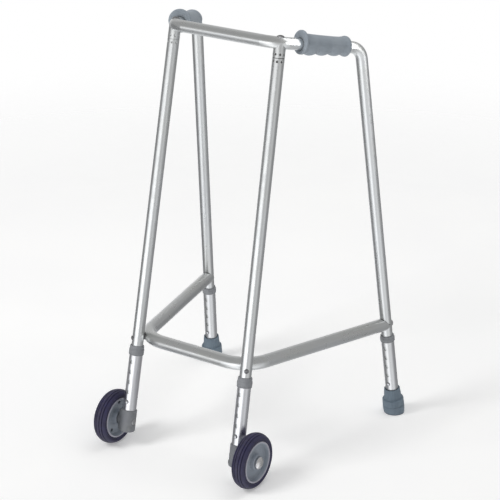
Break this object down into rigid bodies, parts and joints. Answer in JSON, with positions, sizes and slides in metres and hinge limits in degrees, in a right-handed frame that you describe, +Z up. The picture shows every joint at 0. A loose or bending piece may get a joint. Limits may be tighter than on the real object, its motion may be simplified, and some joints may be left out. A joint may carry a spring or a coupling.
{
  "type": "wheeled walking frame",
  "caption": "Non-folding tubular walking frame with fixed front wheels, telescoping legs, a low brace, moulded hand grips and rubber rear ferrules.",
  "frame": {"origin": "on the floor, under the middle of the bounding box, at the lowest height setting", "axes": "+Z up; the front (wheels and cross bar) faces -Y and the user stands at +Y; +X is the user's left"},
  "size_m": [0.489, 0.4858, 0.8187],
  "materials": {
    "frame_tube": "satin anodised",
    "extension_tube": "satin anodised",
    "grip": "matt moulded",
    "collar": "matt moulded",
    "bracket": "matt moulded",
    "ferrule": "matt moulded",
    "tyre": "matt",
    "hub": "satin moulded",
    "bush": "smooth",
    "plug": "moulded",
    "rivet": "painted grey",
    "cap": "bright",
    "spring_steel": "plated",
    "steel": "zinc plated"
  },
  "bodies": {
    "frame": {"brace_end_plug_left": "plug", "brace_end_plug_right": "plug", "brace_front_bolt_left": "steel", "brace_front_bolt_right": "steel", "brace_front_nuts": "steel", "brace_rear_bolt_left": "steel", "brace_rear_bolt_right": "steel", "brace_rear_washers": "steel", "brace_saddles": "plug", "brace_spacers": "plug", "brace_tube": "frame_tube", "front_leg_left": "frame_tube", "front_leg_right": "frame_tube", "grip_left": "grip", "grip_right": "grip", "leg_top_plug_left": "plug", "leg_top_plug_right": "plug", "snap_clip_front_left": "spring_steel", "snap_clip_front_right": "spring_steel", "snap_clip_rear_left": "spring_steel", "snap_clip_rear_right": "spring_steel", "top_bolt_left": "steel", "top_bolt_right": "steel", "top_bolt_washers": "steel", "top_tube": "frame_tube"},
    "front_foot_left": {"extension_front_left": "extension_tube", "collar_front_left": "collar", "wheel_bracket_left": "bracket", "bracket_rivet_left": "rivet", "axle_left": "steel", "axle_washers_left": "steel", "axle_nut_left": "steel", "axle_cap_left": "cap"},
    "wheel_left": {"hub_left": "hub", "hub_bush_left": "bush", "tyre_left": "tyre"},
    "rear_foot_left": {"extension_rear_left": "extension_tube", "collar_rear_left": "collar", "ferrule_left": "ferrule", "ferrule_disc_left": "steel"},
    "front_foot_right": {"extension_front_right": "extension_tube", "collar_front_right": "collar", "wheel_bracket_right": "bracket", "bracket_rivet_right": "rivet", "axle_right": "steel", "axle_washers_right": "steel", "axle_nut_right": "steel", "axle_cap_right": "cap"},
    "wheel_right": {"hub_right": "hub", "hub_bush_right": "bush", "tyre_right": "tyre"},
    "rear_foot_right": {"extension_rear_right": "extension_tube", "collar_rear_right": "collar", "ferrule_right": "ferrule", "ferrule_disc_right": "steel"}
  },
  "joints": [
    {"name": "front_leg_height_left", "type": "slide", "parent": "frame", "child": "front_foot_left", "axis": [0.0158, -0.2058, -0.9785], "range_m": [0, 0.08], "deforming": ["snap_clip_front_left"]},
    {"name": "rear_leg_height_left", "type": "slide", "parent": "frame", "child": "rear_foot_left", "axis": [0.0507, 0.1203, -0.9914], "range_m": [0, 0.08], "deforming": ["snap_clip_rear_left"]},
    {"name": "wheel_spin_left", "type": "hinge", "parent": "front_foot_left", "child": "wheel_left", "pos_m": [0.1607, -0.18944, 0.0535], "axis": [1, 0, 0], "continuous": true},
    {"name": "front_leg_height_right", "type": "slide", "parent": "frame", "child": "front_foot_right", "axis": [-0.0158, -0.2058, -0.9785], "range_m": [0, 0.08], "deforming": ["snap_clip_front_right"]},
    {"name": "rear_leg_height_right", "type": "slide", "parent": "frame", "child": "rear_foot_right", "axis": [-0.0507, 0.1203, -0.9914], "range_m": [0, 0.08], "deforming": ["snap_clip_rear_right"]},
    {"name": "wheel_spin_right", "type": "hinge", "parent": "front_foot_right", "child": "wheel_right", "pos_m": [-0.1607, -0.18944, 0.0535], "axis": [1, 0, 0], "continuous": true}
  ]
}
